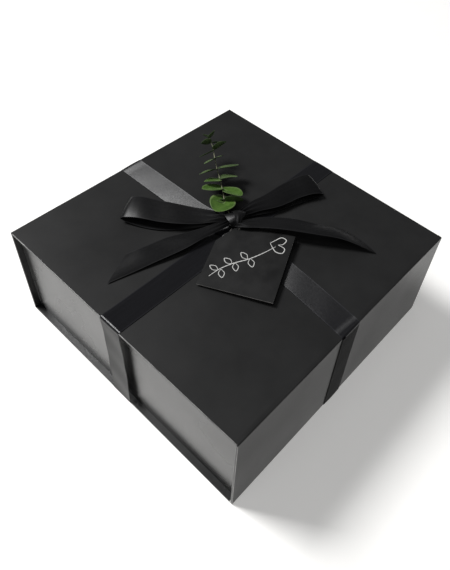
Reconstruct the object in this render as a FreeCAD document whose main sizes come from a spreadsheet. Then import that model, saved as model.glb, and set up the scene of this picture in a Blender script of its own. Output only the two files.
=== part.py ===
import FreeCAD, Part
import os
import re
from math import cos, pi, radians, sin, tan

import Sketcher

# A rigid book-style gift box, tied both ways with satin ribbon.  A paper-wrapped cover of four
# boards (base, spine, lid and front flap) folds round a glued-in tray.  Magnets hold the flap.
# The ribbon is tied in a bow on the lid, with a card tag on a string and a sprig of eucalyptus.
# Millimetres, +Z up.  The origin is on the resting surface, under the middle of the box.
# -Y is the flap side, +Y the spine side.

DIMENSIONS = {
    # the box
    "BoxSide": 300, "BoxHeight": 120, "BoardThick": 2.2, "PaperThick": 0.3,
    "HingeGap": 2.5, "HingeRadius": 1.1, "CoverDrop": 2.9, "TrayRecess": 6, "TrayFrontGap": 3.6,
    "LidClearance": 0.3, "LinerInset": 2, "FlapLift": 0.9,
    "MagnetDiameter": 15, "MagnetThick": 1.5, "MagnetSpacing": 180, "MagnetDrop": 62,
    # the ribbon bands: BandX and BandY are the offsets of their middle lines
    "RibbonWide": 25, "RibbonThick": 0.3, "BandX": -5, "BandY": 1, "BandStep": 3,
    # the bow: everything starts at the knot
    "KnotX": 12, "KnotY": 8.5, "KnotLong": 17, "KnotWide": 11, "KnotHigh": 14, "KnotRound": 4,
    "SoftThick": 0.6, "Pinch": 9,
    "LeftLoopLong": 97, "RightLoopLong": 88, "LoopFoldRadius": 7, "LoopNeckHigh": 10,
    "LeftTailLong": 114, "RightTailLong": 119, "TailTaper": 28, "TailCut": 26,
    # the tag and its string
    "TagLong": 82, "TagWide": 72, "TagThick": 0.8, "TagClipLong": 28, "TagClipWide": 17,
    "TagHole": 2.4, "TagHoleInset": 7.5, "StringDiameter": 1,
    # the sprig
    "StemLong": 106, "StemInKnot": 7, "StemBaseRadius": 1.1, "StemTipRadius": 0.5,
    "StemBore": 2.9, "LeafThick": 0.5, "LeafCurve": 26, "LeafGap": 0.4,
}

doc = FreeCAD.newDocument("gift_box")
sheet = doc.addObject("Spreadsheet::Sheet", "Sizes")
for row, (alias, number) in enumerate(DIMENSIONS.items(), start=1):
    sheet.set("A%d" % row, alias)
    sheet.set("B%d" % row, str(number))
    sheet.setAlias("B%d" % row, alias)
doc.recompute()

NODES = []


def size(alias):
    return float(getattr(sheet, alias))


def bound(formula):
    """The formula with each dimension's name pointing at the sheet."""
    return re.sub(r"\b([A-Z]\w+)", r"Sizes.\1", formula)


def value(formula):
    return float(sheet.evalExpression(bound(formula)))


def node(obj, label):
    obj.Label = label
    NODES.append(obj)
    return obj


def place_bound(obj, x="0", y="0", z="0"):
    for axis, formula in (("x", x), ("y", y), ("z", z)):
        obj.setExpression("Placement.Base." + axis, bound(formula))


def board(label, x, y, z):
    """A flat board or paper sheet: each of x, y and z is its low and high formula."""
    box = doc.addObject("Part::Box", label)
    for side, (low, high) in (("Length", x), ("Width", y), ("Height", z)):
        box.setExpression(side, bound("(%s) - (%s)" % (high, low)))
    place_bound(box, x[0], y[0], z[0])
    return node(box, label)


def disc(label, x, y, z, diameter, thick):
    """A round magnet standing on edge, its axis along Y."""
    cylinder = doc.addObject("Part::Cylinder", label)
    cylinder.setExpression("Radius", bound(diameter + " / 2"))
    cylinder.setExpression("Height", bound(thick))
    cylinder.Placement.Rotation = FreeCAD.Rotation(FreeCAD.Vector(1, 0, 0), -90)
    place_bound(cylinder, x, y, z)
    return node(cylinder, label)


def new_body(label):
    body = doc.addObject("PartDesign::Body", label)
    return node(body, label)


def origin_plane(body, role):
    return next(plane for plane in body.Origin.OriginFeatures if plane.Role == role)


def new_sketch(body, name, role):
    sketch = body.newObject("Sketcher::SketchObject", name)
    sketch.AttachmentSupport = [(origin_plane(body, role), "")]
    sketch.MapMode = "FlatFace"
    return sketch


def pin_point(sketch, line, end, corner):
    """Fix one end of a line at a corner whose two coordinates are formulas."""
    for kind, formula in zip(("DistanceX", "DistanceY"), corner):
        number = value(formula)
        index = sketch.addConstraint(Sketcher.Constraint(kind, -1, 1, line, end, number))
        sketch.setExpression("Constraints[%d]" % index, bound(formula))


def outline(body, name, role, corners):
    """A closed sketch of straight lines through corners given as formulas."""
    sketch = new_sketch(body, name, role)
    points = [FreeCAD.Vector(value(x), value(y), 0) for x, y in corners]
    for start, finish in zip(points, points[1:] + points[:1]):
        sketch.addGeometry(Part.LineSegment(start, finish))
    for line in range(len(points)):
        following = (line + 1) % len(points)
        sketch.addConstraint(Sketcher.Constraint("Coincident", line, 2, following, 1))
        pin_point(sketch, line, 1, corners[line])
    return sketch


def circle(body, name, role, x, y, diameter):
    sketch = new_sketch(body, name, role)
    centre = FreeCAD.Vector(value(x), value(y), 0)
    ring = sketch.addGeometry(Part.Circle(centre, FreeCAD.Vector(0, 0, 1), value(diameter) / 2))
    pin_point(sketch, ring, 3, (x, y))
    width = sketch.addConstraint(Sketcher.Constraint("Diameter", ring, value(diameter)))
    sketch.setExpression("Constraints[%d]" % width, bound(diameter))
    return sketch


def pad(body, sketch, length, midplane=False, backwards=False):
    feature = body.newObject("PartDesign::Pad", sketch.Name + "_pad")
    feature.Profile = sketch
    feature.setExpression("Length", bound(length))
    feature.Midplane = midplane
    feature.Reversed = backwards
    doc.recompute()
    return feature


def pocket(body, sketch, depth, backwards=False):
    feature = body.newObject("PartDesign::Pocket", sketch.Name + "_pocket")
    feature.Profile = sketch
    feature.setExpression("Length", bound(depth))
    feature.Reversed = backwards
    before = body.Shape.Volume
    doc.recompute()
    if body.Shape.Volume >= before:
        raise RuntimeError(sketch.Name + " cuts nothing")
    return feature


def fillet(body, feature, radius, chosen):
    """Round the edges of feature whose middle the function chosen accepts."""
    edges = ["Edge%d" % number for number, edge in enumerate(feature.Shape.Edges, start=1)
             if chosen(edge)]
    rounding = body.newObject("PartDesign::Fillet", feature.Name + "_fillet")
    rounding.Base = (feature, edges)
    rounding.setExpression("Radius", bound(radius))
    doc.recompute()
    return rounding


# ---------------------------------------------------------------- the box

HALF = "BoxSide / 2"
BASE_Z = "2 * RibbonThick"
BASE_TOP = BASE_Z + " + BoardThick"
LID_UNDER = "BoxHeight - BoardThick"
UPRIGHT_TOP = "BoxHeight - CoverDrop"
TRAY_TOP = "BoxHeight - BoardThick - PaperThick - LidClearance"
TRAY_FRONT = "TrayFrontGap - BoxSide / 2"
TRAY_BACK = "BoxSide / 2 - BoardThick"
TRAY_SIDE = "BoxSide / 2 - TrayRecess"
MAGNET_Z = "BoxHeight - MagnetDrop"
FULL_WIDTH = ("-(" + HALF + ")", HALF)


def build_cover():
    """The four boards of the cover, with the lid and the flap at their closed places."""
    hinge_back = HALF + " - HingeGap"
    board("base_panel", FULL_WIDTH, (TRAY_FRONT, hinge_back), (BASE_Z, BASE_TOP))
    board("spine_panel", FULL_WIDTH, (HALF + " - BoardThick", HALF),
          (BASE_Z + " + CoverDrop", UPRIGHT_TOP))
    board("lid_panel", FULL_WIDTH, ("-(" + hinge_back + ")", hinge_back), (LID_UNDER, "BoxHeight"))
    magnet_board("front_flap", HALF, "-(" + HALF + ")", "FlapLift", UPRIGHT_TOP, True)


def magnet_board(label, half_width, front, low, high, from_behind):
    """An upright board with two shallow round recesses that its magnets are glued into."""
    body = new_body(label)
    corners = [("-(" + half_width + ")", low), (half_width, low),
               (half_width, high), ("-(" + half_width + ")", high)]
    profile = outline(body, label + "_outline", "XZ_Plane", corners)
    pad(body, profile, "BoardThick")
    # a pad from the XZ plane grows towards -Y, so its front face is BoardThick before the body
    place_bound(body, y=front + " + BoardThick")
    for side, sign in (("left", "-"), ("right", "")):
        recess = circle(body, label + "_recess_" + side, "XZ_Plane",
                        sign + "MagnetSpacing / 2", MAGNET_Z, "MagnetDiameter")
        if from_behind:
            pocket(body, recess, "MagnetThick", backwards=True)
        else:
            recess.AttachmentOffset = FreeCAD.Placement(
                FreeCAD.Vector(0, 0, size("BoardThick")), FreeCAD.Rotation())
            pocket(body, recess, "MagnetThick")


def build_hinges():
    """The folds of the wrapping paper between two boards: a flat leg, a round corner, a leg."""
    hinge_paper("lid_hinge_paper", 1, "BoxHeight", -1)
    hinge_paper("flap_hinge_paper", -1, "BoxHeight", -1)
    hinge_paper("base_hinge_paper", 1, BASE_Z, 1)


def hinge_paper(label, side, level, inward):
    """side is +1 at the spine, -1 at the flap; inward is the way from the level into the box."""
    body = new_body(label)
    across = "%d * " % side
    inside = " + %d * " % inward
    outer = across + "(BoxSide / 2)"
    inner = across + "(BoxSide / 2 - PaperThick)"
    flat_end = across + "(BoxSide / 2 - HingeGap)"
    leg_end = level + inside + "HingeRadius"
    corners = [(flat_end, level), (outer, level), (outer, leg_end), (inner, leg_end),
               (inner, level + inside + "PaperThick"), (flat_end, level + inside + "PaperThick")]
    profile = outline(body, label + "_profile", "YZ_Plane", corners)
    folded = pad(body, profile, "BoxSide", midplane=True)
    corner_y, corner_z = value(outer), value(level)
    inner_y = value(inner)
    inner_z = value(level + inside + "PaperThick")

    def at(y, z):
        return lambda edge: (abs(edge.CenterOfMass.x) < 1 and edge.Length > size("BoxSide") - 1
                             and abs(edge.CenterOfMass.y - y) < 0.01
                             and abs(edge.CenterOfMass.z - z) < 0.01)

    rounded = fillet(body, folded, "HingeRadius - 0.001", at(corner_y, corner_z))
    fillet(body, rounded, "HingeRadius - PaperThick - 0.001", at(inner_y, inner_z))


def build_tray():
    """Four walls and a floor glued together, and glued to the base and the spine."""
    inner_side = TRAY_SIDE + " - BoardThick"
    wall_z = (BASE_TOP, TRAY_TOP)
    between = (TRAY_FRONT + " + BoardThick", TRAY_BACK + " - BoardThick")
    magnet_board("tray_front_wall", TRAY_SIDE, TRAY_FRONT, BASE_TOP, TRAY_TOP, False)
    board("tray_back_wall", ("-(" + TRAY_SIDE + ")", TRAY_SIDE),
          (TRAY_BACK + " - BoardThick", TRAY_BACK), wall_z)
    board("tray_left_wall", ("-(" + TRAY_SIDE + ")", "-(" + inner_side + ")"), between, wall_z)
    board("tray_right_wall", (inner_side, TRAY_SIDE), between, wall_z)
    board("tray_floor", ("-(" + inner_side + ")", inner_side), between,
          (BASE_TOP, BASE_TOP + " + BoardThick"))


def build_liners():
    """Loose-cut lining paper: inside the tray, under the lid and behind the flap."""
    inset = HALF + " - LinerInset"
    inner_side = TRAY_SIDE + " - BoardThick"
    floor_top = BASE_TOP + " + BoardThick"
    board("tray_liner", ("-(" + inner_side + ")", inner_side),
          (TRAY_FRONT + " + BoardThick", TRAY_BACK + " - BoardThick"),
          (floor_top, floor_top + " + PaperThick"))
    board("lid_liner", ("-(" + inset + ")", inset),
          ("-(" + inset + ") + TrayFrontGap", inset + " - HingeGap"),
          (LID_UNDER + " - PaperThick", LID_UNDER))
    board("flap_liner", ("-(" + inset + ")", inset),
          ("BoardThick - BoxSide / 2", "BoardThick + PaperThick - BoxSide / 2"),
          ("FlapLift + LinerInset", UPRIGHT_TOP + " - LinerInset"))


def build_magnets():
    """Two pairs: each flap magnet meets one in the tray's front wall."""
    for side, sign in (("left", "-"), ("right", "")):
        middle = sign + "MagnetSpacing / 2"
        disc("flap_magnet_" + side, middle, "BoardThick - MagnetThick - BoxSide / 2", MAGNET_Z,
             "MagnetDiameter", "MagnetThick")
        disc("tray_magnet_" + side, middle, TRAY_FRONT, MAGNET_Z,
             "MagnetDiameter", "MagnetThick")


# ---------------------------------------------------------------- the ribbon

def build_bands():
    """The ribbon's flat runs round the box, split where the lid and the flap fold."""
    across_x = ("BandX - RibbonWide / 2", "BandX + RibbonWide / 2")
    across_y = ("BandY - RibbonWide / 2", "BandY + RibbonWide / 2")
    outside = HALF + " + RibbonThick"
    full_run = ("-(" + outside + ")", outside)
    on_lid = ("BoxHeight", "BoxHeight + RibbonThick")
    left_end = ("-(" + outside + ")", "-(" + HALF + ")")
    right_end = (HALF, outside)
    upright = ("2 * RibbonThick", UPRIGHT_TOP)
    side_run = ("RibbonThick", "BoxHeight - RibbonThick")
    board("ribbon_top_left", ("-(" + HALF + ")", "BandX"), across_y, on_lid)
    board("ribbon_top_right", ("BandX", HALF), across_y, on_lid)
    stepped_band("ribbon_top_back", 1)
    stepped_band("ribbon_top_front", -1)
    board("ribbon_side_left", left_end, across_y, side_run)
    board("ribbon_side_right", right_end, across_y, side_run)
    board("ribbon_back", across_x, right_end, upright)
    board("ribbon_front", across_x, left_end, ("FlapLift", UPRIGHT_TOP))
    board("ribbon_under_x", full_run, across_y, ("0", "RibbonThick"))
    board("ribbon_under_y", across_x, full_run, ("RibbonThick", "2 * RibbonThick"))


def stepped_band(label, side):
    """A run on the lid that climbs onto the crossing band before it reaches the middle."""
    body = new_body(label)
    edge = "BandY + %d * " % side
    start = "%d * (BoxSide / 2 - HingeGap)" % side
    foot = edge + "(RibbonWide / 2 + BandStep)"
    top = edge + "(RibbonWide / 2 + 0.5)"
    low, middle, high = "BoxHeight", "BoxHeight + RibbonThick", "BoxHeight + 2 * RibbonThick"
    step = "BoxHeight + RibbonThick + 0.05"
    corners = [(start, low), (foot, low), (top, step), ("BandY", step),
               ("BandY", high + " + 0.05"), (top, high + " + 0.05"), (foot, middle),
               (start, middle)]
    profile = outline(body, label + "_profile", "YZ_Plane", corners)
    pad(body, profile, "RibbonWide", midplane=True)
    place_bound(body, x="BandX")


def aimed(body, x, y, z, azimuth, slope=0.0, roll=0.0):
    """Stand a body at a point with its X axis along azimuth, raised by slope, rolled by roll."""
    turn = FreeCAD.Rotation(FreeCAD.Vector(0, 0, 1), azimuth)
    tilt = FreeCAD.Rotation(FreeCAD.Vector(0, 1, 0), -slope)
    lean = FreeCAD.Rotation(FreeCAD.Vector(1, 0, 0), roll)
    body.Placement.Rotation = turn * tilt * lean
    place_bound(body, x, y, z)


KNOT_TURN = 20

# How each end of ribbon leaves the knot: x and y of its pinched end, then its azimuth.
# A tail also has the height of its end, its slope, its roll and the side of its longer edge.
LOOPS = {
    "bow_loop_left": ("LeftLoopLong", "KnotX - 9.5", "KnotY + 6", 128),
    "bow_loop_right": ("RightLoopLong", "KnotX + 11.5", "KnotY + 4", -17),
}
TAILS = {
    "bow_tail_left": ("LeftTailLong", "KnotX - 11.5", "KnotY - 4.5", 163,
                      "BoxHeight + 7.2", -2.6, 0, 1),
    "bow_tail_right": ("RightTailLong", "KnotX + 8", "KnotY - 6", -56,
                       "BoxHeight + 11.5", -3.2, -12, -1),
}


def build_bow():
    knot()
    for label, shape in LOOPS.items():
        loop(label, *shape)
    for label, shape in TAILS.items():
        tail(label, *shape)


def knot():
    """A short pillow of tightly wrapped ribbon, with a way in at the back for the sprig's stem."""
    body = doc.addObject("PartDesign::Body", "knot_pillow")
    half_long, half_wide = "KnotLong / 2", "KnotWide / 2"
    corners = [("-" + half_long, "-" + half_wide), (half_long, "-" + half_wide),
               (half_long, half_wide), ("-" + half_long, half_wide)]
    block = pad(body, outline(body, "knot_outline", "XY_Plane", corners), "KnotHigh")
    fillet(body, block, "KnotRound", lambda edge: True)
    aimed(body, "KnotX", "KnotY", "BoxHeight + 2 * RibbonThick + 0.2", KNOT_TURN)
    bore = doc.addObject("Part::Cylinder", "stem_way")
    bore.setExpression("Radius", bound("StemBore / 2"))
    bore.setExpression("Height", bound("StemInKnot + 4"))
    along = FreeCAD.Rotation(FreeCAD.Vector(0, 1, 0), 90)
    inner_end = sprig_frame().multVec(FreeCAD.Vector(-size("StemInKnot") - 1, 0, 0))
    bore.Placement = FreeCAD.Placement(inner_end, sprig_frame().Rotation * along)
    cut = doc.addObject("Part::Cut", "bow_knot")
    cut.Base = body
    cut.Tool = bore
    node(cut, "bow_knot")


def loop(label, long, x, y, azimuth):
    """An upper and a lower run of ribbon joined by a round fold, both pinched at the knot."""
    body = new_body(label)
    pad(body, loop_profile(body, label + "_outer", long, False), "RibbonWide", midplane=True)
    hollow = pocket(body, loop_profile(body, label + "_hollow", long, True), "RibbonWide + 2")
    hollow.Midplane = True
    doc.recompute()
    half = "RibbonWide / 2"
    for side, sign in (("plus", ""), ("minus", "-")):
        corners = [("-1", sign + "Pinch / 2"), ("0", sign + "Pinch / 2"),
                   ("TailTaper", sign + "(" + half + ")"), ("TailTaper", sign + "(" + half + " + 1)"),
                   ("-1", sign + "(" + half + " + 1)")]
        trim = outline(body, label + "_trim_" + side, "XY_Plane", corners)
        pocket(body, trim, "LoopFoldRadius * 4", backwards=True)
    aimed(body, x, y, "BoxHeight + RibbonThick + 1.1", azimuth)


def loop_profile(body, name, long, inside):
    """Half a turn about the fold's centre, closed by two straight runs to the neck."""
    sketch = new_sketch(body, name, "XZ_Plane")
    inset = "SoftThick" if inside else "0"
    fold = long + " - LoopFoldRadius"
    corners = [(inset, "LoopNeckHigh - LoopFoldRadius + " + inset), (fold, inset),
               (fold, "2 * LoopFoldRadius - " + inset), (inset, "LoopNeckHigh - " + inset)]
    low, bottom, top, high = [FreeCAD.Vector(value(x), value(y), 0) for x, y in corners]
    turn = (top - bottom).Length / 2
    outermost = FreeCAD.Vector(bottom.x + turn, bottom.y + turn, 0)
    sketch.addGeometry(Part.LineSegment(low, bottom))
    sketch.addGeometry(Part.Arc(bottom, outermost, top))
    sketch.addGeometry(Part.LineSegment(top, high))
    sketch.addGeometry(Part.LineSegment(high, low))
    for edge in range(4):
        following = (edge + 1) % 4
        sketch.addConstraint(Sketcher.Constraint("Coincident", edge, 2, following, 1))
    for line, end, corner in ((0, 1, 0), (0, 2, 1), (2, 1, 2), (2, 2, 3)):
        pin_point(sketch, line, end, corners[corner])
    centre = sketch.addConstraint(Sketcher.Constraint("DistanceX", -1, 1, 1, 3, value(fold)))
    sketch.setExpression("Constraints[%d]" % centre, bound(fold))
    return sketch


def tail(label, long, x, y, azimuth, z, slope, roll, longer_side):
    """A flat tail, pinched at the knot and cut on the slant."""
    body = new_body(label)
    half = "RibbonWide / 2"
    plus_end = long + " + %d * TailCut / 2" % longer_side
    minus_end = long + " - %d * TailCut / 2" % longer_side
    corners = [("0", "-Pinch / 2"), ("TailTaper", "-" + half), (minus_end, "-" + half),
               (plus_end, half), ("TailTaper", half), ("0", "Pinch / 2")]
    pad(body, outline(body, label + "_outline", "XY_Plane", corners), "SoftThick")
    aimed(body, x, y, z, azimuth, slope, roll)


# ---------------------------------------------------------------- the tag

TAG_HOLE = ("KnotX - 6.5", "KnotY - 11.6", "BoxHeight + 5.6")
TAG_AZIMUTH = 206
TAG_SLOPE = -2.2
TAG_ROLL = 2


def build_tag():
    """The card runs from its hole, near the knot, down towards the box's near corner."""
    body = new_body("tag_card")
    near = "-TagHoleInset"
    far = "TagLong - TagHoleInset"
    right = "-TagClipWide"
    left = "TagWide - TagClipWide"
    corners = [(near, "0"), (near + " + TagClipLong", right), (far, right), (far, left),
               (near, left)]
    pad(body, outline(body, "tag_outline", "XY_Plane", corners), "TagThick")
    hole = circle(body, "tag_hole", "XY_Plane", "0", "0", "TagHole")
    pocket(body, hole, "TagThick", backwards=True)
    aimed(body, *TAG_HOLE, TAG_AZIMUTH, TAG_SLOPE, TAG_ROLL)


# By hand, from the middle of the hole: out of the knot's front, down through the hole, in a
# slack bight under the card, and up round the clipped edge into the knot's left end.
STRING_ROUTE = [
    (4.4, 3.2, 3.2), (2.8, 1.2, 3.9), (0.6, -0.3, 2.7), (0.0, 0.2, -2.0), (-3.5, -3.0, -3.6),
    (-8.5, -3.5, -3.7), (-11.5, 0.8, -3.6), (-8.5, 6.0, -3.0), (-2.8, 6.8, -1.6),
]


def tube(label, route, diameter):
    """A round cord along straight runs joined by tangent arcs."""
    edges = []
    start = route[0]
    radii = []
    for before, corner, after in zip(route, route[1:], route[2:]):
        into, out = corner - before, after - corner
        turn = into.getAngle(out)
        shorter = min(into.Length, out.Length)
        radius = 0.45 * shorter / tan(turn / 2)
        radii.append(radius)
        reach = radius * tan(turn / 2)
        into.normalize()
        out.normalize()
        first = corner - into * reach
        last = corner + out * reach
        inward = (out - into).normalize()
        middle = corner + inward * (radius / cos(turn / 2) - radius)
        edges.append(Part.LineSegment(start, first).toShape())
        edges.append(Part.Arc(first, middle, last).toShape())
        start = last
    edges.append(Part.LineSegment(start, route[-1]).toShape())
    path = Part.Wire(edges)
    direction = route[1] - route[0]
    section = Part.Wire(Part.Circle(route[0], direction, diameter / 2).toShape())
    solid = path.makePipeShell([section], True, False)
    print(label, "length", round(path.Length, 1), "radii", [round(r, 1) for r in radii],
          "volume ratio", round(solid.Volume / (path.Length * pi * diameter ** 2 / 4), 4))
    return solid


def build_string():
    feature = doc.addObject("Part::Feature", "tag_string")
    hole = FreeCAD.Vector(*[value(formula) for formula in TAG_HOLE])
    route = [hole + FreeCAD.Vector(*point) for point in STRING_ROUTE]
    feature.Shape = tube("tag_string", route, size("StringDiameter"))
    node(feature, "tag_string")


# ---------------------------------------------------------------- the sprig

# Each leaf: place along the stem, side (1 left, -1 right), length, width, sweep towards the tip,
# rise, and facing (0 along the stem, 90 upwards), in millimetres and degrees.
LEAF_PAIRS = [
    [(15.5, 1, 17, 22, -50, 12, 80), (13, -1, 11, 12, -15, -2, 78)],
    [(22, 1, 17, 16, 14, 6, 60), (21, -1, 19, 18, 0, 12, 60)],
    [(29, 1, 21, 18, 9, 7, 56), (30, -1, 21, 20, -34, 28, 52)],
    [(43, 1, 20, 17, -3, 21, 54), (44, -1, 20, 17, 6, -10, 48)],
    [(57, 1, 23, 14, -15, 8, 38), (58, -1, 23, 14, -8, 11, 41)],
    [(70, 1, 17, 11, -27, 18, 31), (71, -1, 14, 10, 22, -18, 34)],
    [(81, 1, 18, 9, -22, 3, 28), (82, -1, 18, 11, 14, 22, 5)],
    [(93, 1, 13, 9, -11, 13, -6), (92, -1, 13, 9, 8, -14, 24)],
    [(98, 1, 9, 4, 42, -3, 48), (98, -1, 12, 5, 37, 43, 13)],
]
SPRIG_AZIMUTH = 57.3
SPRIG_SLOPE = 11.6


def sprig_frame():
    """X runs along the stem from where it comes out of the knot, Y to its left, Z up."""
    turn = FreeCAD.Rotation(FreeCAD.Vector(0, 0, 1), SPRIG_AZIMUTH)
    tilt = FreeCAD.Rotation(FreeCAD.Vector(0, 1, 0), -SPRIG_SLOPE)
    exit_point = FreeCAD.Vector(size("KnotX") + 3.2, size("KnotY") + 11.2, size("BoxHeight") + 7)
    return FreeCAD.Placement(exit_point, turn * tilt)


def build_sprig():
    frame = sprig_frame()
    stem = doc.addObject("Part::Cone", "sprig_stem")
    stem.setExpression("Radius1", bound("StemBaseRadius"))
    stem.setExpression("Radius2", bound("StemTipRadius"))
    stem.setExpression("Height", bound("StemLong"))
    along = FreeCAD.Rotation(FreeCAD.Vector(0, 1, 0), 90)
    stem_end = frame.multVec(FreeCAD.Vector(-size("StemInKnot"), 0, 0))
    stem.Placement = FreeCAD.Placement(stem_end, frame.Rotation * along)
    node(stem, "sprig_stem")
    for index, pair in enumerate(LEAF_PAIRS, start=1):
        label = "leaf_pair_%d" % index
        feature = doc.addObject("Part::Feature", label)
        feature.Shape = Part.makeCompound([leaf(*numbers) for numbers in pair])
        feature.Placement = frame
        node(feature, label)


def leaf_axes(side, sweep, rise, facing):
    """The leaf's own axes: X along it, Z out of its upper face."""
    along = FreeCAD.Vector(cos(rise) * sin(sweep), side * cos(rise) * cos(sweep), sin(rise))
    stem = FreeCAD.Vector(1, 0, 0)
    forward = (stem - along * along.dot(stem)).normalize()
    upward = forward.cross(along) * side
    face = forward * cos(facing) + upward * sin(facing)
    return FreeCAD.Rotation(along, face.cross(along), face, "XZY")


def leaf(station, side, long, wide, sweep, rise, facing):
    """A thin dished blade: an oval cut out of a ball's skin, held by its base at the stem."""
    curve, thick = size("LeafCurve"), size("LeafThick")
    middle = FreeCAD.Vector(long / 2, 0, -curve)
    oval = Part.makeCylinder(0.5, 2 * curve, middle)
    stretch = FreeCAD.Matrix()
    stretch.scale(long, wide, 1)
    oval.translate(FreeCAD.Vector(-long / 2, 0, 0))
    prism = oval.transformGeometry(stretch)
    prism.translate(FreeCAD.Vector(long / 2, 0, 0))
    centre = FreeCAD.Vector(long / 2, 0, curve)
    skin = Part.makeSphere(curve, centre).cut(Part.makeSphere(curve - thick, centre))
    blade = prism.common(skin)
    off_stem = size("StemBaseRadius") + size("LeafGap")
    blade.translate(FreeCAD.Vector(off_stem, 0, off_stem))
    axes = leaf_axes(side, radians(sweep), radians(rise), radians(facing))
    blade.Placement = FreeCAD.Placement(FreeCAD.Vector(station, 0, 0), axes) * blade.Placement
    return blade


# ---------------------------------------------------------------- everything

def check_and_write():
    doc.recompute()
    for obj in doc.Objects:
        if "Invalid" in obj.State or "Error" in obj.State:
            raise RuntimeError(obj.Name + " failed: " + str(obj.State))
    os.makedirs("parts", exist_ok=True)
    for obj in NODES:
        if obj.Shape.isNull() or not obj.Shape.isValid() or not obj.Shape.Solids:
            raise RuntimeError(obj.Label + " has no valid solid")
        obj.Shape.exportStep(os.path.join("parts", obj.Label + ".step"))
    print(len(NODES), "nodes written")


build_cover()
build_hinges()
build_tray()
build_liners()
build_magnets()
build_bands()
build_bow()
build_tag()
build_string()
build_sprig()
check_and_write()
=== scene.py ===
from math import cos, hypot, pi, radians, sin

import bmesh
import bpy
import numpy as np
from mathutils import Matrix, Vector


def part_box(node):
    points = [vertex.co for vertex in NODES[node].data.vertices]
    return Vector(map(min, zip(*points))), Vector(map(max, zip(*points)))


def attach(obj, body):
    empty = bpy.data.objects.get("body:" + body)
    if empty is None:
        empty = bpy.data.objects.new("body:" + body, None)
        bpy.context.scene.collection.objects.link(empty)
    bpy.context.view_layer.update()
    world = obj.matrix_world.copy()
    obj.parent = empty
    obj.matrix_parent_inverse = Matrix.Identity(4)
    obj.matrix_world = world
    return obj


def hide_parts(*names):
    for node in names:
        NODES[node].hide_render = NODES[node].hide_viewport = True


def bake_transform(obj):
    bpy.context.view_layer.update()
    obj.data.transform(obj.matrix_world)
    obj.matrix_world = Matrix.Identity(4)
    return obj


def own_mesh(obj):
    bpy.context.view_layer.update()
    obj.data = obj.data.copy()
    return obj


# A black rigid gift box tied with satin ribbon, with a bow, a card tag and a sprig of eucalyptus.
# Metres, +Z up, in the CAD frame.  Ribbon, bow, tag and sprig places are in millimetres, with
# heights measured from the lid's top, and mm() turns them into metres.

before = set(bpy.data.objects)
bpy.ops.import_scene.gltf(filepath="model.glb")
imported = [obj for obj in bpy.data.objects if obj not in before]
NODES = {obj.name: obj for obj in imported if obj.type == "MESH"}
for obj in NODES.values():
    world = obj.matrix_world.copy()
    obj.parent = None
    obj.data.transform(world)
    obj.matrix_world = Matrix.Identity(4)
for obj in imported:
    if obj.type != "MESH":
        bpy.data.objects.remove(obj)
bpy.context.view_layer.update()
LID_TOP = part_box("lid_panel")[1].z
HALF_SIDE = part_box("lid_panel")[1].x
MM = 0.001
RIBBON_WIDE = 25 * MM
RIBBON_THICK = 0.3 * MM
HALF_RIBBON = 12.5
PAPER_THICK = 0.3 * MM


def mm(point):
    """A point in millimetres over the lid's top, as metres in the CAD frame."""
    return Vector((point[0] * MM, point[1] * MM, LID_TOP + point[2] * MM))


# ---------------------------------------------------------------- camera, floor and light

CAMERA_PLACE = (-0.2982, -0.2642, 0.5457)
CAMERA_HEADING = -51.686
CAMERA_DOWN = 45.385
CAMERA_ROLL = 5.535
LENS = 37.39
SHIFT_X = -0.0558
SHIFT_Y = -0.1120
FLOOR_SIDE = 8
ROOM_COLOUR = (0.96, 0.97, 1, 1)
ROOM_LIGHT = 0.09


def place_camera():
    """The view: from over the near left corner, 45 degrees down, turned a little."""
    camera_data = bpy.data.cameras.new("camera")
    camera = bpy.data.objects.new("camera", camera_data)
    bpy.context.scene.collection.objects.link(camera)
    heading = Matrix.Rotation(radians(CAMERA_HEADING), 3, "Z")
    tilt = Matrix.Rotation(radians(90 - CAMERA_DOWN), 3, "X")
    roll = Matrix.Rotation(radians(CAMERA_ROLL), 3, "Z")
    turned = (heading @ tilt @ roll).to_4x4()
    camera.matrix_world = Matrix.Translation(CAMERA_PLACE) @ turned
    camera_data.lens = LENS
    camera_data.sensor_width = 36
    camera_data.shift_x = SHIFT_X
    camera_data.shift_y = SHIFT_Y
    camera_data.clip_start = 0.01
    bpy.context.scene.camera = camera


def soft_light(name, place, width, power):
    """A square light that faces the middle of the floor under the box."""
    light_data = bpy.data.lights.new(name, "AREA")
    light_data.shape = "SQUARE"
    light_data.size = width
    light_data.energy = power
    light = bpy.data.objects.new(name, light_data)
    bpy.context.scene.collection.objects.link(light)
    light.location = place
    light.rotation_euler = (-Vector(place)).to_track_quat("-Z", "Y").to_euler()


def set_the_stage():
    """A pale floor, a dim room, a window high up behind the box and a weak fill over its left."""
    bpy.ops.mesh.primitive_plane_add(size=FLOOR_SIDE)
    floor = bpy.context.object
    floor.name = "floor"
    floor.data.materials.append(floor_material())
    world = bpy.data.worlds.new("room")
    world.use_nodes = True
    background = world.node_tree.nodes["Background"]
    background.inputs["Color"].default_value = ROOM_COLOUR
    background.inputs["Strength"].default_value = ROOM_LIGHT
    bpy.context.scene.world = world
    soft_light("window", place=(-0.9, 2.1, 3.1), width=1.1, power=150)
    soft_light("fill", place=(-1.7, -0.5, 2.9), width=2.0, power=14)
    bpy.context.scene.view_settings.view_transform = "Standard"


# ---------------------------------------------------------------- materials

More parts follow.
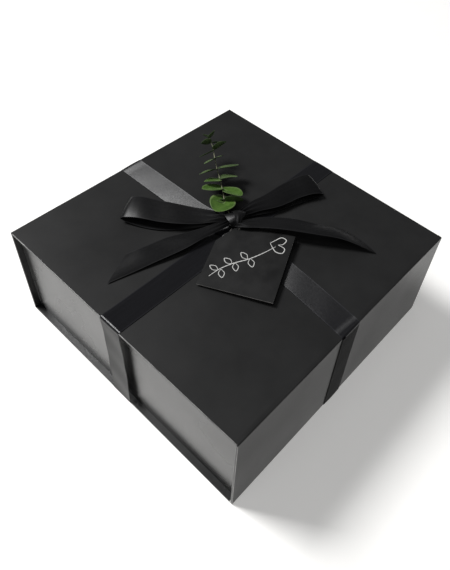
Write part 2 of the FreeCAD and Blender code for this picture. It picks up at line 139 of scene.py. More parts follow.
class Shader:
    """A principled material and short ways to add the nodes that drive it."""

    def __init__(self, name, **constants):
        self.material = bpy.data.materials.new(name)
        self.material.use_nodes = True
        self.tree = self.material.node_tree
        self.principled = self.tree.nodes["Principled BSDF"]
        for socket, number in constants.items():
            self.principled.inputs[socket.replace("_", " ")].default_value = number

    def node(self, kind, **settings):
        made = self.tree.nodes.new(kind)
        for name, setting in settings.items():
            setattr(made, name, setting)
        return made

    def link(self, output, target):
        self.tree.links.new(output, target)

    def coordinates(self, output="Object", scale=(1, 1, 1)):
        source = self.node("ShaderNodeTexCoord")
        mapping = self.node("ShaderNodeMapping")
        mapping.inputs["Scale"].default_value = scale
        self.link(source.outputs[output], mapping.inputs["Vector"])
        return mapping.outputs["Vector"]

    def noise(self, vector, scale, detail=2, roughness=0.5):
        texture = self.node("ShaderNodeTexNoise")
        texture.inputs["Scale"].default_value = scale
        texture.inputs["Detail"].default_value = detail
        texture.inputs["Roughness"].default_value = roughness
        self.link(vector, texture.inputs["Vector"])
        return texture.outputs["Fac"]

    def wave(self, vector, scale, direction, distortion):
        texture = self.node("ShaderNodeTexWave", bands_direction=direction)
        texture.inputs["Scale"].default_value = scale
        texture.inputs["Distortion"].default_value = distortion
        self.link(vector, texture.inputs["Vector"])
        return texture.outputs["Fac"]

    def spread(self, value, low, high, start=0.0, end=1.0):
        """The value moved from start..end to low..high."""
        change = self.node("ShaderNodeMapRange")
        for socket, number in (("From Min", start), ("From Max", end),
                               ("To Min", low), ("To Max", high)):
            change.inputs[socket].default_value = number
        self.link(value, change.inputs["Value"])
        return change.outputs["Result"]

    def colours(self, value, *stops):
        """A ramp through (position, colour) stops."""
        ramp = self.node("ShaderNodeValToRGB")
        while len(ramp.color_ramp.elements) < len(stops):
            ramp.color_ramp.elements.new(0.5)
        for element, (position, colour) in zip(ramp.color_ramp.elements, stops):
            element.position = position
            element.color = (*colour, 1)
        self.link(value, ramp.inputs["Fac"])
        return ramp.outputs["Color"]

    def mix(self, factor, first, second):
        mixer = self.node("ShaderNodeMix", data_type="RGBA")
        self.link(factor, mixer.inputs["Factor"])
        for output, socket in ((first, mixer.inputs[6]), (second, mixer.inputs[7])):
            self.link(output, socket)
        return mixer.outputs[2]

    def add(self, first, second, weight):
        """first + weight * second."""
        adder = self.node("ShaderNodeMath", operation="MULTIPLY_ADD")
        self.link(second, adder.inputs[0])
        adder.inputs[1].default_value = weight
        self.link(first, adder.inputs[2])
        return adder.outputs[0]

    def bump(self, height, distance, strength):
        bump = self.node("ShaderNodeBump")
        bump.inputs["Distance"].default_value = distance
        bump.inputs["Strength"].default_value = strength
        self.link(height, bump.inputs["Height"])
        self.link(bump.outputs["Normal"], self.principled.inputs["Normal"])

    def set(self, **links):
        for socket, output in links.items():
            self.link(output, self.principled.inputs[socket.replace("_", " ")])


def floor_material():
    """A white sweep that glows a little, as one lit from behind does."""
    shader = Shader("pale_floor", Roughness=0.7, Emission_Color=(1, 0.992, 0.975, 1),
                    Emission_Strength=0.3)
    grain = shader.noise(shader.coordinates(), 40)
    shader.set(Base_Color=shader.colours(grain, (0.3, (0.87, 0.862, 0.842)),
                                         (0.7, (0.89, 0.883, 0.864))))
    return shader.material


def paper_material(name, dark, light, roughness, gloss):
    """Uncoated black wrapping paper: fine fibres, slow mottling and a soft sheen at low angles."""
    shader = Shader(name, IOR=gloss)
    place = shader.coordinates()
    fibre = shader.noise(shader.coordinates(scale=(1, 1, 2.5)), 2600, 3, 0.65)
    mottle = shader.noise(place, 38, 4, 0.6)
    rubbed = shader.noise(place, 9, 3)
    tone = shader.add(mottle, fibre, 0.25)
    shader.set(Base_Color=shader.colours(tone, (0.35, dark), (0.85, light)),
               Roughness=shader.spread(rubbed, roughness - 0.05, roughness + 0.05, 0.3, 0.7))
    shader.bump(shader.add(fibre, mottle, 0.6), 0.00006, 0.5)
    return shader.material


def satin_material(name, dark, light, roughness, gloss, stretch):
    """Satin: long floats along the ribbon stretch its shine across it; ribs and a woven edge, whose
    lighter colour is a painted highlight.
    """
    shader = Shader(name, IOR=gloss, Anisotropic=stretch, Sheen_Weight=0.02, Sheen_Roughness=0.35)
    cloth = shader.coordinates("UV")
    rib = shader.wave(cloth, 420, "Y", 0.6)
    thread = shader.wave(cloth, 900, "X", 1.2)
    streak = shader.noise(shader.coordinates("UV", (900, 25, 1)), 1, 3, 0.6)
    slub = shader.noise(shader.coordinates("UV", (300, 420, 1)), 1, 2, 0.6)
    split = shader.node("ShaderNodeSeparateXYZ")
    shader.link(cloth, split.inputs["Vector"])
    across = shader.node("ShaderNodeMath", operation="ABSOLUTE")
    shader.link(split.outputs["X"], across.inputs[0])
    half = RIBBON_WIDE / 2
    edge = shader.spread(across.outputs[0], 0, 1, half - 1.1 * MM, half - 0.5 * MM)
    body = shader.colours(shader.add(streak, slub, 0.4), (0.45, dark), (0.95, light))
    # The woven edge's lighter colour is a painted highlight along both edges; its ribs, roughness
    # and bump are the cloth's own.
    selvedge_highlight = shader.colours(rib, (0.2, light), (0.8, tuple(2.2 * part for part in light)))
    shader.set(Base_Color=shader.mix(edge, body, selvedge_highlight),
               Roughness=shader.spread(shader.add(slub, edge, 0.6), roughness - 0.03,
                                       roughness + 0.06, 0.3, 1.3))
    tangent = shader.node("ShaderNodeTangent", direction_type="UV_MAP", uv_map="cloth")
    shader.link(tangent.outputs["Tangent"], shader.principled.inputs["Tangent"])
    height = shader.add(shader.add(rib, thread, 0.4), slub, 0.4)
    shader.bump(shader.add(height, edge, 1.2), 0.00003, 0.25)
    return shader.material


def leaf_material(name, dark, light, roughness):
    """Waxy eucalyptus leaf: mottled green, faint side veins, a bloom that dulls the shine."""
    shader = Shader(name, IOR=1.36, Sheen_Weight=0.03, Sheen_Roughness=0.5)
    place = shader.coordinates()
    patches = shader.noise(place, 110, 4, 0.6)
    grain = shader.noise(place, 900, 3, 0.6)
    blade = shader.coordinates("UV")
    vein = shader.wave(blade, 7, "DIAGONAL", 1.5)
    tone = shader.add(shader.add(patches, grain, 0.3), vein, 0.12)
    shader.set(Base_Color=shader.colours(tone, (0.45, dark), (0.85, light)),
               Roughness=shader.spread(patches, roughness - 0.06, roughness + 0.1, 0.3, 0.7))
    shader.bump(shader.add(grain, vein, 0.8), 0.0001, 0.5)
    return shader.material


def twig_material():
    shader = Shader("twig", IOR=1.45)
    place = shader.coordinates()
    patches = shader.noise(place, 160, 3)
    ridges = shader.noise(shader.coordinates(scale=(1, 1, 0.4)), 1500, 3)
    shader.set(Base_Color=shader.colours(patches, (0.35, (0.10, 0.11, 0.06)),
                                         (0.7, (0.25, 0.25, 0.16))),
               Roughness=shader.spread(patches, 0.45, 0.65))
    shader.bump(ridges, 0.0001, 0.6)
    return shader.material


def edge_highlight_material():
    """Paper stretched over a board's edge: polished by handling, and pale in patches as a painted
    highlight along the edge.
    """
    shader = Shader("edge_painted_highlight", IOR=1.6)
    place = shader.coordinates()
    highlight_patches = shader.noise(shader.coordinates(scale=(1, 1, 3)), 70, 4, 0.7)
    fibre = shader.noise(place, 1500, 3)
    shader.set(Base_Color=shader.colours(shader.add(highlight_patches, fibre, 0.3), (0.5, (0.05, 0.05, 0.05)),
                                         (0.8, (0.32, 0.32, 0.31))),
               Roughness=shader.spread(fibre, 0.26, 0.4, 0.3, 0.7))
    shader.bump(fibre, 0.00005, 0.4)
    return shader.material


def card_material(name, dark, light, roughness=0.5):
    shader = Shader(name, IOR=1.36)
    place = shader.coordinates()
    fibre = shader.noise(place, 1800, 4, 0.7)
    mottle = shader.noise(place, 60, 3)
    shader.set(Base_Color=shader.colours(shader.add(mottle, fibre, 0.4), (0.45, dark),
                                         (0.95, light)),
               Roughness=shader.spread(mottle, roughness - 0.05, roughness + 0.07, 0.3, 0.7))
    shader.bump(fibre, 0.00006, 0.5)
    return shader.material


def chalk_material():
    shader = Shader("chalk", Roughness=0.9)
    crumbs = shader.noise(shader.coordinates(), 2400, 4, 0.8)
    shader.set(Base_Color=shader.colours(crumbs, (0.32, (0.12, 0.12, 0.12)),
                                         (0.5, (0.62, 0.62, 0.6))))
    shader.bump(crumbs, 0.0002, 0.8)
    return shader.material


def string_material():
    shader = Shader("cotton_string", Roughness=0.85, Sheen_Weight=0.3)
    twist = shader.wave(shader.coordinates("UV", (1, 1, 1)), 9, "DIAGONAL", 0.5)
    fuzz = shader.noise(shader.coordinates(), 5000, 3, 0.7)
    shader.set(Base_Color=shader.colours(shader.add(twist, fuzz, 0.5), (0.3, (0.10, 0.095, 0.085)),
                                         (1.0, (0.3, 0.29, 0.27))))
    shader.bump(shader.add(twist, fuzz, 0.4), 0.0002, 0.8)
    return shader.material


def magnet_material():
    shader = Shader("nickel_plate", Metallic=1.0)
    place = shader.coordinates()
    scuffs = shader.noise(shader.coordinates(scale=(1, 6, 1)), 900, 4, 0.7)
    cloud = shader.noise(place, 150)
    shader.set(Base_Color=shader.colours(cloud, (0.3, (0.56, 0.55, 0.52)), (0.7, (0.7, 0.7, 0.69))),
               Roughness=shader.spread(scuffs, 0.18, 0.38, 0.3, 0.7))
    shader.bump(scuffs, 0.00003, 0.4)
    return shader.material


COVER_PAPER = paper_material("black_paper", (0.0145, 0.0145, 0.0146), (0.0195, 0.0195, 0.0195),
                             0.36, 1.4)
TRAY_PAPER = paper_material("tray_paper", (0.003, 0.003, 0.0031), (0.008, 0.008, 0.008),
                            0.27, 1.64)
# The pale edge material is a painted highlight along the lid's and flap's board edges.
EDGE_HIGHLIGHT = edge_highlight_material()
LINING = paper_material("lining_paper", (0.012, 0.012, 0.0122), (0.021, 0.021, 0.021), 0.5, 1.5)
SATIN = satin_material("black_satin", (0.0045, 0.0045, 0.0048), (0.0085, 0.0085, 0.009),
                       0.34, 1.34, 0.35)
SATIN_BAND = satin_material("band_satin", (0.005, 0.005, 0.0058), (0.010, 0.010, 0.0118),
                            0.33, 1.6, 1.0)
# A darker copy of the band satin for the runs down the box's sides: painted shade on the same
# ribbon.
SATIN_SIDE_SHADED = satin_material("side_satin_painted_shade", (0.003, 0.003, 0.0033), (0.006, 0.006, 0.0066),
                            0.4, 1.33, 1.0)
# A darker copy of the band satin for the run down the flap: painted shade on the same ribbon.
SATIN_FLAP_SHADED = satin_material("flap_satin_painted_shade", (0.003, 0.003, 0.0033), (0.0055, 0.0055, 0.0057),
                            0.45, 1.12, 1.0)
LEAF_TOP = leaf_material("leaf_top", (0.024, 0.062, 0.008), (0.078, 0.155, 0.026), 0.4)
LEAF_YOUNG = leaf_material("leaf_young", (0.006, 0.022, 0.004), (0.022, 0.058, 0.010), 0.4)
LEAF_UNDER = leaf_material("leaf_under", (0.024, 0.048, 0.014), (0.072, 0.115, 0.036), 0.55)
LEAF_RIM = leaf_material("leaf_rim", (0.06, 0.11, 0.03), (0.13, 0.2, 0.06), 0.5)
TWIG = twig_material()
CARD = card_material("tag_card", (0.004, 0.004, 0.0042), (0.010, 0.010, 0.010))
# The card's paler cut edge, brightened into a painted highlight line along its rim.
CARD_EDGE_AND_HIGHLIGHT = card_material("tag_cut_edge_and_highlight", (0.38, 0.37, 0.35), (0.74, 0.72, 0.69), 0.8)
CHALK = chalk_material()
STRING = string_material()
NICKEL = magnet_material()


# ---------------------------------------------------------------- mesh tools

def make(name, bm, materials, smooth=True):
    mesh = bpy.data.meshes.new(name)
    bmesh.ops.recalc_face_normals(bm, faces=bm.faces)
    bm.to_mesh(mesh)
    bm.free()
    for material in materials:
        mesh.materials.append(material)
    piece = bpy.data.objects.new(name, mesh)
    bpy.context.scene.collection.objects.link(piece)
    for polygon in mesh.polygons:
        polygon.use_smooth = smooth
    return piece


def settle(piece, sharp=40):
    """Apply a piece's modifiers and keep its creases sharp."""
    graph = bpy.context.evaluated_depsgraph_get()
    mesh = bpy.data.meshes.new_from_object(piece.evaluated_get(graph))
    piece.modifiers.clear()
    piece.data = mesh
    mesh.set_sharp_from_angle(angle=radians(sharp))
    return piece


def curve_through(points, knots):
    """Close samples of a smooth curve that passes each point at its knot."""
    slopes = np.gradient(points, knots, axis=0)
    fine = np.linspace(0, knots[-1], 40 * len(points))
    i = np.clip(np.searchsorted(knots, fine, side="right") - 1, 0, len(points) - 2)
    step = (knots[i + 1] - knots[i])[:, None]
    s = (fine - knots[i])[:, None] / step
    return ((2 * s ** 3 - 3 * s ** 2 + 1) * points[i] + (s ** 3 - 2 * s ** 2 + s) * step * slopes[i]
            + (3 * s ** 2 - 2 * s ** 3) * points[i + 1] + (s ** 3 - s ** 2) * step * slopes[i + 1])


def evenly(line, ruler, count):
    """Samples of a line at even distances along its ruler, and those distances."""
    along = np.concatenate([[0], np.cumsum(np.linalg.norm(np.diff(ruler, axis=0), axis=1))])
    even = np.linspace(0, along[-1], count)
    return np.stack([np.interp(even, along, track) for track in line.T], axis=1), even


def smooth_line(points, count):
    """Evenly spaced points on a smooth curve through the given ones."""
    points = np.array(points, float)
    gaps = np.linalg.norm(np.diff(points, axis=0), axis=1) ** 0.5
    line = curve_through(points, np.concatenate([[0], np.cumsum(gaps)]))
    return evenly(line, line, count)[0]


def paired_lines(left, right, count):
    """Two edges sampled together, so that a station on one faces the same station on the other."""
    both = np.hstack([np.array(left, float), np.array(right, float)])
    middle = (both[:, :3] + both[:, 3:]) / 2
    gaps = np.linalg.norm(np.diff(middle, axis=0), axis=1)
    knots = np.concatenate([[0], np.cumsum(np.maximum(gaps, 0.5) ** 0.6)])
    line = curve_through(both, knots)
    sampled, even = evenly(line, (line[:, :3] + line[:, 3:]) / 2, count)
    return sampled[:, :3], sampled[:, 3:], even


def gathered(distance, reach):
    """How tightly a ribbon is gathered at a distance from its pinched end; a reach of 0 is none."""
    return np.exp(-(distance / reach) ** 1.5) if reach else 0 * distance


def ribbon(name, left, right, body, along, across=14, crown=0.0, pinch_start=0.0,
           pinch_end=0.0, pleat=1.1, wander=0.0, material=None, thick=RIBBON_THICK):
    """A ribbon between two given edges.  Near a pinched end it gathers into pleats;
    crown lifts its middle and wander makes it undulate."""
    pleats = 2.5
    lefts, rights, run = paired_lines(left, right, along)
    grid = np.zeros((along, across, 3))
    tangents = np.gradient((lefts + rights) / 2, axis=0)
    tangents /= np.linalg.norm(tangents, axis=1)[:, None]
    widths = rights - lefts
    normals = np.cross(tangents, widths)
    normals /= np.linalg.norm(normals, axis=1)[:, None]
    if normals[0, 2] < 0:
        normals = -normals
    shares = np.linspace(0, 1, across)
    for column, share in enumerate(shares):
        lift = crown * 4 * share * (1 - share)
        tightness = gathered(run, pinch_start) + gathered(run[-1] - run, pinch_end)
        fold = pleat * np.cos(2 * pi * pleats * share + 0.4) * tightness
        roam = wander * np.sin(run / 9.0 + 2.2 * share) * np.sin(run / 23.0 + 1.0)
        grid[:, column] = (lefts + widths * share + normals * (lift + fold + roam)[:, None])
    bm = bmesh.new()
    cloth = bm.loops.layers.uv.new("cloth")
    rows = [[bm.verts.new(mm(point)) for point in row] for row in grid]
    for i in range(along - 1):
        for j in range(across - 1):
            face = bm.faces.new((rows[i][j], rows[i + 1][j], rows[i + 1][j + 1], rows[i][j + 1]))
            corners = ((i, j), (i + 1, j), (i + 1, j + 1), (i, j + 1))
            for loop, (row, column) in zip(face.loops, corners):
                loop[cloth].uv = ((shares[column] - 0.5) * RIBBON_WIDE, run[row] * MM)
    piece = make(name, bm, [material or SATIN])
    skin = piece.modifiers.new("thickness", "SOLIDIFY")
    skin.thickness = thick
    skin.offset = 0
    settle(piece)
    if body:
        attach(piece, body)
    return piece


def slab(name, node, body, radius, edge):
    """A paper-wrapped board: the node's box with softly rounded edges, of another look if given
    (the edge material, a painted highlight).
    """
    low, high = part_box(node)
    bm = bmesh.new()
    bmesh.ops.create_cube(bm, size=1)
    for vertex in bm.verts:
        for axis in range(3):
            middle = (low[axis] + high[axis]) / 2
            vertex.co[axis] = middle + vertex.co[axis] * (high[axis] - low[axis])
    paper = TRAY_PAPER if node.startswith("tray") else COVER_PAPER
    piece = make(name, bm, [paper, edge] if edge else [paper])
    rounding = piece.modifiers.new("rounding", "BEVEL")
    rounding.width = radius
    rounding.segments = 3
    rounding.harden_normals = True
    if edge:
        rounding.material = 1
    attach(piece, body)
    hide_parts(node)
    return piece


# ---------------------------------------------------------------- the box

def build_boards():
    """Cover and tray boards, wrapped in paper, with the magnets' faint discs under the paper."""
    # The lid and flap boards get the edge material on their rounded edges: a painted highlight.
    for node, body, radius, edge in (("lid_panel", "lid", 0.35, EDGE_HIGHLIGHT),
                                     ("front_flap", "flap", 0.35, EDGE_HIGHLIGHT),
                                     ("spine_panel", "tray", 0.5, None),
                                     ("base_panel", "tray", 0.4, None),
                                     ("tray_front_wall", "tray", 0.4, None),
                                     ("tray_back_wall", "tray", 0.4, None),
                                     ("tray_left_wall", "tray", 0.4, None),
                                     ("tray_right_wall", "tray", 0.4, None),
                                     ("tray_floor", "tray", 0.3, None)):
        slab(node + "_wrapped", node, body, radius * MM, edge)
    for node in ("tray_liner", "lid_liner", "flap_liner"):
        paint(node, LINING)
    for side in ("left", "right"):
        paint("flap_magnet_" + side, NICKEL)
        paint("tray_magnet_" + side, NICKEL)
        magnet_print(side)


def paint(node, material):
    NODES[node].data.materials.clear()
    NODES[node].data.materials.append(material)


def magnet_print(side):
    """The slight round swelling of the paper over a magnet in the tray's front wall."""
    swelling = 0.16 * MM
    low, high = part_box("tray_magnet_" + side)
    centre = (low + high) / 2
    radius = (high.x - low.x) / 2 + 0.6 * MM
    rings, spokes = 6, 40
    bm = bmesh.new()
    middle = bm.verts.new((centre.x, low.y - swelling, centre.z))
    previous = None
    for ring in range(1, rings + 1):
        share = ring / rings
        lift = swelling * (1 - share ** 4)
        circle = [bm.verts.new((centre.x + radius * share * cos(2 * pi * k / spokes),
                                low.y - lift, centre.z + radius * share * sin(2 * pi * k / spokes)))
                  for k in range(spokes)]
        for k in range(spokes):
            after = (k + 1) % spokes
            if previous is None:
                bm.faces.new((middle, circle[k], circle[after]))
            else:
                bm.faces.new((previous[k], circle[k], circle[after], previous[after]))
        previous = circle
    piece = make("magnet_print_" + side, bm, [TRAY_PAPER])
    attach(piece, "tray")


def fold_profile(side, level, rise=1):
    """Points (y, z) of paper from the flat board, round the corner and down the upright one."""
    flat, drop, radius = 4.2 * MM, 6 * MM, 1.1 * MM
    edge = side * HALF_SIDE
    points = [(edge - side * flat, level)]
    for step in range(9):
        turn = pi / 2 * step / 8
        points.append((edge - side * radius * (1 - sin(turn)),
                       level - rise * radius * (1 - cos(turn))))
    points += [(edge, level - rise * drop * share) for share in (0.4, 0.55, 0.7, 0.85, 1.0)]
    return points


def paper_fold(name, node, profile, *bodies):
    """The wrapping paper where two boards meet, raised a hair over both."""
    lift = 0.12 * MM
    ripple = 0.04 * MM
    half_width = HALF_SIDE - 0.25 * MM
    columns = np.linspace(-half_width, half_width, 41)
    bm = bmesh.new()
    rows = []
    for number, (y, z) in enumerate(profile):
        before = profile[max(number - 1, 0)]
        after = profile[min(number + 1, len(profile) - 1)]
        along = Vector((0, after[0] - before[0], after[1] - before[1])).normalized()
        outward = Vector((0, -along.z, along.y))
        if outward.y * y < 0:
            outward = -outward
        fade = 0.0 if number in (0, len(profile) - 1) else 1.0
        base = Vector((0, y, z)) + outward * (lift * fade - PAPER_THICK / 2)
        rows.append([bm.verts.new((x, base.y, base.z + ripple * sin(x * 90 + number)))
                     for x in columns])
    for first, second in zip(rows, rows[1:]):
        for k in range(len(columns) - 1):
            bm.faces.new((first[k], first[k + 1], second[k + 1], second[k]))
    piece = make(name, bm, [COVER_PAPER])
    skin = piece.modifiers.new("thickness", "SOLIDIFY")
    skin.thickness = PAPER_THICK
    skin.offset = 0
    settle(piece, 50)
    if len(bodies) == 2:
        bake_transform(piece)
    else:
        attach(piece, bodies[0])
    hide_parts(node)


BASE_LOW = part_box("base_panel")[0].z


def build_folds():
    """Paper hinges: lid to flap, lid to spine, spine to base."""
    paper_fold("flap_fold", "flap_hinge_paper", fold_profile(-1, LID_TOP), "lid", "flap")
    paper_fold("spine_fold", "lid_hinge_paper", fold_profile(1, LID_TOP), "tray", "lid")
    paper_fold("base_fold", "base_hinge_paper", fold_profile(1, BASE_LOW, rise=-1), "tray")


# ---------------------------------------------------------------- the ribbon round the box

def edges(middle):
    """Left and right edges of a ribbon, from stations (x, y, h, across_x, across_y)."""
    return [[(x + side * ax, y + side * ay, h) for x, y, h, ax, ay in middle]
            for side in (-HALF_RIBBON, HALF_RIBBON)]


def build_lid_bands():
    """The runs on the lid: flat where they are pulled tight, lifting a little to the knot."""
    side_drop = 2.6
    left = [(8, 1.5, 1.6, 0, 1), (-12, 1, 0.9, 0, 1), (-40, 0.6, 0.45, 0, 1), (-90, 0.3, 0.4, 0, 1),
            (-140, 0.2, 0.45, 0, 1), (-149.2, 0.2, 0.42, 0, 1), (-150.35, 0.2, -0.5, 0, 1),
            (-150.5, 0.2, -side_drop, 0, 1)]
    right = [(4, 1.5, 1.6, 0, 1), (24, 1.2, 0.9, 0, 1), (50, 1.4, 0.45, 0, 1), (90, 1.8, 0.4, 0, 1),
             (140, 2.0, 0.45, 0, 1), (149.2, 2.0, 0.42, 0, 1), (150.35, 2.0, -0.5, 0, 1),
             (150.5, 2.0, -side_drop, 0, 1)]
    for name, route in (("left", left), ("right", right)):
        piece = ribbon("band_top_" + name, *edges(route), "lid", along=120, crown=0.25,
                       wander=0.12, material=SATIN_BAND)
        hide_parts("ribbon_top_" + name)


def painted_shade_below(piece, material, level):
    """Faces below a level take a second, darker copy of the satin: painted shade where the run
    turns down over a fold and catches the light differently.
    """
    piece.data.materials.append(material)
    for face in piece.data.polygons:
        if face.center.z < level:
            face.material_index = 1


def build_hinged_bands():
    """The runs that cross the lid's two folds: one down the flap, one down the spine."""
    foot = -118.6
    front = [(7, 8, 2.2, 1, -0.02), (5.5, -12, 1.5, 1, -0.05), (3, -45, 0.8, 1, -0.08),
             (-2.3, -105, 0.5, 1, -0.1), (-6.3, -140, 0.45, 1, -0.1),
             (-7.6, -149.0, 0.45, 1, -0.05), (-7.9, -150.45, -0.7, 1, 0),
             (-7.9, -150.55, -4, 1, 0), (-7.6, -150.4, -30, 1, 0),
             (-6.8, -150.4, -80, 1, 0), (-6.2, -150.4, foot, 1, 0)]
    back = [(4, -2, 2.4, 1, 0), (0, 20, 2.0, 1, 0), (-3.6, 48, 1.2, 1, 0), (-4, 90, 0.8, 1, 0),
            (-4.4, 138, 0.5, 1, 0), (-4.6, 149.0, 0.45, 1, 0), (-4.6, 150.45, -0.7, 1, 0),
            (-4.6, 150.55, -4, 1, 0), (-4.7, 150.4, -40, 1, 0), (-4.8, 150.4, foot, 1, 0)]
    piece = ribbon("band_front", *edges(front), None, along=190, crown=0.3, wander=0.1,
                   material=SATIN_BAND)
    # Below the lid's top the front run takes the darker flap satin: painted shade.
    painted_shade_below(piece, SATIN_FLAP_SHADED, LID_TOP - 0.4 * MM)
    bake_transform(piece)
    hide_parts("ribbon_top_front", "ribbon_front")
    piece = ribbon("band_back", *edges(back), None, along=190, crown=0.3, wander=0.1,
                   material=SATIN_BAND)
    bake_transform(piece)
    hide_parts("ribbon_top_back", "ribbon_back")


def build_side_bands():
    """Each side's run bridges the recess from the lid's edge to the base's, slightly slack."""
    base_edge = -118.2
    for name, side in (("left", -1), ("right", 1)):
        x = side * 150.0
        y = 0.3 if side < 0 else 2.0
        route = [(x, y, -0.5, 0, 1), (x + side * 0.1, y, -4, 0, 1), (x - side * 0.3, y, -20, 0, 1),
                 (x - side * 0.8, y + 0.3, -55, 0, 1), (x - side * 0.5, y, -92, 0, 1),
                 (x + side * 0.1, y, -113, 0, 1), (x + side * 0.35, y, base_edge, 0, 1),
                 (x - side * 0.1, y, -119.7, 0, 1)]
        # The side runs take the darker side satin: painted shade.
        piece = ribbon("band_side_" + name, *edges(route), "tray", along=110,
                       crown=0.5 * side, wander=0.35, material=SATIN_SIDE_SHADED)
        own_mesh(piece)
        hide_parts("ribbon_side_" + name)


def build_under_bands():
    """The two runs that cross under the base."""
    stations = (-150.1, -75, 0, 75, 150.1)
    along_x = [(x, 1.0, -119.84, 0, 1) for x in stations]
    along_y = [(-5.0, y, -119.54, 1, 0) for y in stations]
    for name, route in (("x", along_x), ("y", along_y)):
        piece = ribbon("band_under_" + name, *edges(route), "tray", along=60, thick=0.26 * MM,
                       material=SATIN_BAND)
        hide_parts("ribbon_under_" + name)


# ---------------------------------------------------------------- the bow

def build_loops():
    """Each loop: out along the top, round a soft fold and back along the lid."""
    far = [(8, 19, 11), (-9, 45, 12.5), (-24, 70, 13), (-36, 92, 12.5), (-42, 99.5, 10.6),
           (-43.5, 101.5, 7.6), (-42, 99, 4.6), (-35, 86, 2.6), (-22, 62, 1.8), (-8, 42, 3),
           (6, 20, 6)]
    near = [(2, 13, 9.5), (-26, 34, 9), (-45, 55, 10), (-59, 77, 9.8), (-65.5, 86.5, 8),
            (-67, 89, 5.6), (-65.5, 86, 3.4), (-58, 70, 1.6), (-46, 52, 1.2), (-26, 34, 2.4),
            (1, 13, 5)]
    piece = ribbon("loop_left", far, near, "lid", along=190, across=18, crown=0.8,
                   pinch_start=16, pinch_end=14, wander=0.5)
    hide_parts("bow_loop_left")
    far = [(20, 12, 10), (40, 12.5, 10), (58, 9.5, 11), (85, 6, 13), (105, -0.5, 14.8),
           (111.5, -4, 13.4), (112.5, -5, 10), (108, -3.5, 6.5), (88, 3, 3.2), (60, 9, 2.2),
           (38, 11, 3.6), (20, 12, 6)]
    near = [(19, 6, 9.5), (36, 0, 8.6), (58, -10.5, 7.6), (84, -17, 7.6), (101, -25, 7.4),
            (107, -29, 5.8), (108, -29.5, 3.8), (103, -27, 2.4), (85, -20, 1.5), (60, -11, 1.5),
            (36, -1, 3.2), (19, 6, 5.5)]
    piece = ribbon("loop_right", far, near, "lid", along=190, across=18, crown=0.9,
                   pinch_start=18, pinch_end=14, wander=0.5)
    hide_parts("bow_loop_right")


def build_tails():
    """Two tails cut on the slant: the left one lies down along the lid, the right one arches."""
    far = [(5, 12, 9), (-8, 16.5, 9), (-22, 22.5, 8.2), (-54, 39, 5.6), (-74, 45.5, 3.6),
           (-90, 51, 1.8)]
    near = [(2, 6, 9), (-8, 7.5, 8.6), (-23, 11, 7.6), (-50, 16, 5.2), (-84, 25.5, 2.4),
            (-124, 36, 1.0)]
    piece = ribbon("tail_left", far, near, "lid", along=130, across=18, crown=1.1,
                   pinch_start=15, wander=0.35)
    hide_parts("bow_tail_left")
    far = [(13, 0, 10.6), (21.5, -4, 9.6), (32, -9.5, 8.9), (52, -29, 8), (67, -55, 8),
           (77, -68, 5.6), (83, -76.5, 3.6)]
    near = [(3, 0, 10.6), (9, -9, 11.6), (17, -18.5, 12.4), (33, -42, 14.6), (49, -66, 14.2),
            (65, -88, 12), (82, -115, 1.2)]
    piece = ribbon("tail_right", far, near, "lid", along=130, across=18, crown=1.3,
                   pinch_start=13, wander=0.3)
    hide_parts("bow_tail_right")


def build_knot():
    """The knot: a gathered core, a wrap over it and the facet where the wrap turns under."""
    bow_axis = Vector((24, -7, 0)).normalized()
    sideways = Vector((-bow_axis.y, bow_axis.x, 0))
    centre = Vector((11.5, 8.5, 7.2))
    turns, across = 64, 22
    bm = bmesh.new()
    cloth = bm.loops.layers.uv.new("cloth")
    rows = []
    for step in range(turns):
        angle = 2 * pi * step / turns
        row = []
        for column in range(across):
            share = column / (across - 1) * 2 - 1
            reach = 7.6 + 0.8 * cos(angle)
            waist = 1 - 0.28 * share * share
            crease = 0.35 * cos(9.5 * share + 1.2 * sin(angle)) + 0.2 * cos(17 * share - angle)
            high = (5.9 * waist + crease) * sin(angle)
            wide = (6.0 * waist + crease) * cos(angle)
            place = centre + bow_axis * (share * reach + 1.4 * sin(angle)) + sideways * wide
            row.append(bm.verts.new(mm(place + Vector((0, 0, high)))))
        rows.append(row)
    for step in range(turns):
        after = (step + 1) % turns
        for column in range(across - 1):
            face = bm.faces.new((rows[step][column], rows[after][column],
                                 rows[after][column + 1], rows[step][column + 1]))
            places = ((step, column), (step + 1, column),
                      (step + 1, column + 1), (step, column + 1))
            for loop, (turn, line) in zip(face.loops, places):
                loop[cloth].uv = ((line / (across - 1) - 0.5) * RIBBON_WIDE * 0.8, turn * 0.6 * MM)
    core = make("knot_core", bm, [SATIN])
    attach(core, "lid")
    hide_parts("bow_knot")
    facet_left = [(6.5, 19.5, 6), (4.5, 16.8, 12.8), (2.6, 11, 12.9), (1.6, 5.6, 11.6),
                  (2.4, 3.5, 7)]
    facet_right = [(13, 17, 6.5), (11.6, 13, 13.4), (9.9, 8.1, 15.2), (6.5, 3.8, 13.6),
                   (4.2, 1.2, 8)]
    facet = ribbon("knot_facet", facet_left, facet_right, "lid", along=50, across=12, crown=0.1)
    roll_left = [(14, 17.5, 6), (12.5, 13.4, 14.2), (9.6, 8.2, 16.2), (5.3, 3.2, 14.2),
                 (3.4, 0.8, 9.4)]
    roll_right = [(23, 11, 5.5), (23.8, 7.6, 10), (21.8, 3.8, 12.8), (14, -0.4, 12.6),
                  (7.4, -2.2, 8.8)]
    wrap = ribbon("knot_wrap", roll_left, roll_right, "lid", along=60, across=16, crown=1.6,
                  pinch_end=9, pleat=0.5)


# ---------------------------------------------------------------- the tag

TAG_HOLE = Vector((5.5, -3.1, 5.6))
TAG_TURN = (Matrix.Rotation(radians(206), 3, "Z") @ Matrix.Rotation(radians(2.2), 3, "Y")
            @ Matrix.Rotation(radians(2), 3, "X"))
TAG_THICK = 0.8


def on_tag(x, y, height):
    """A point in the tag's own plane, x down its length from the hole, as metres."""
    return mm(TAG_HOLE + TAG_TURN @ Vector((x, y, height)))


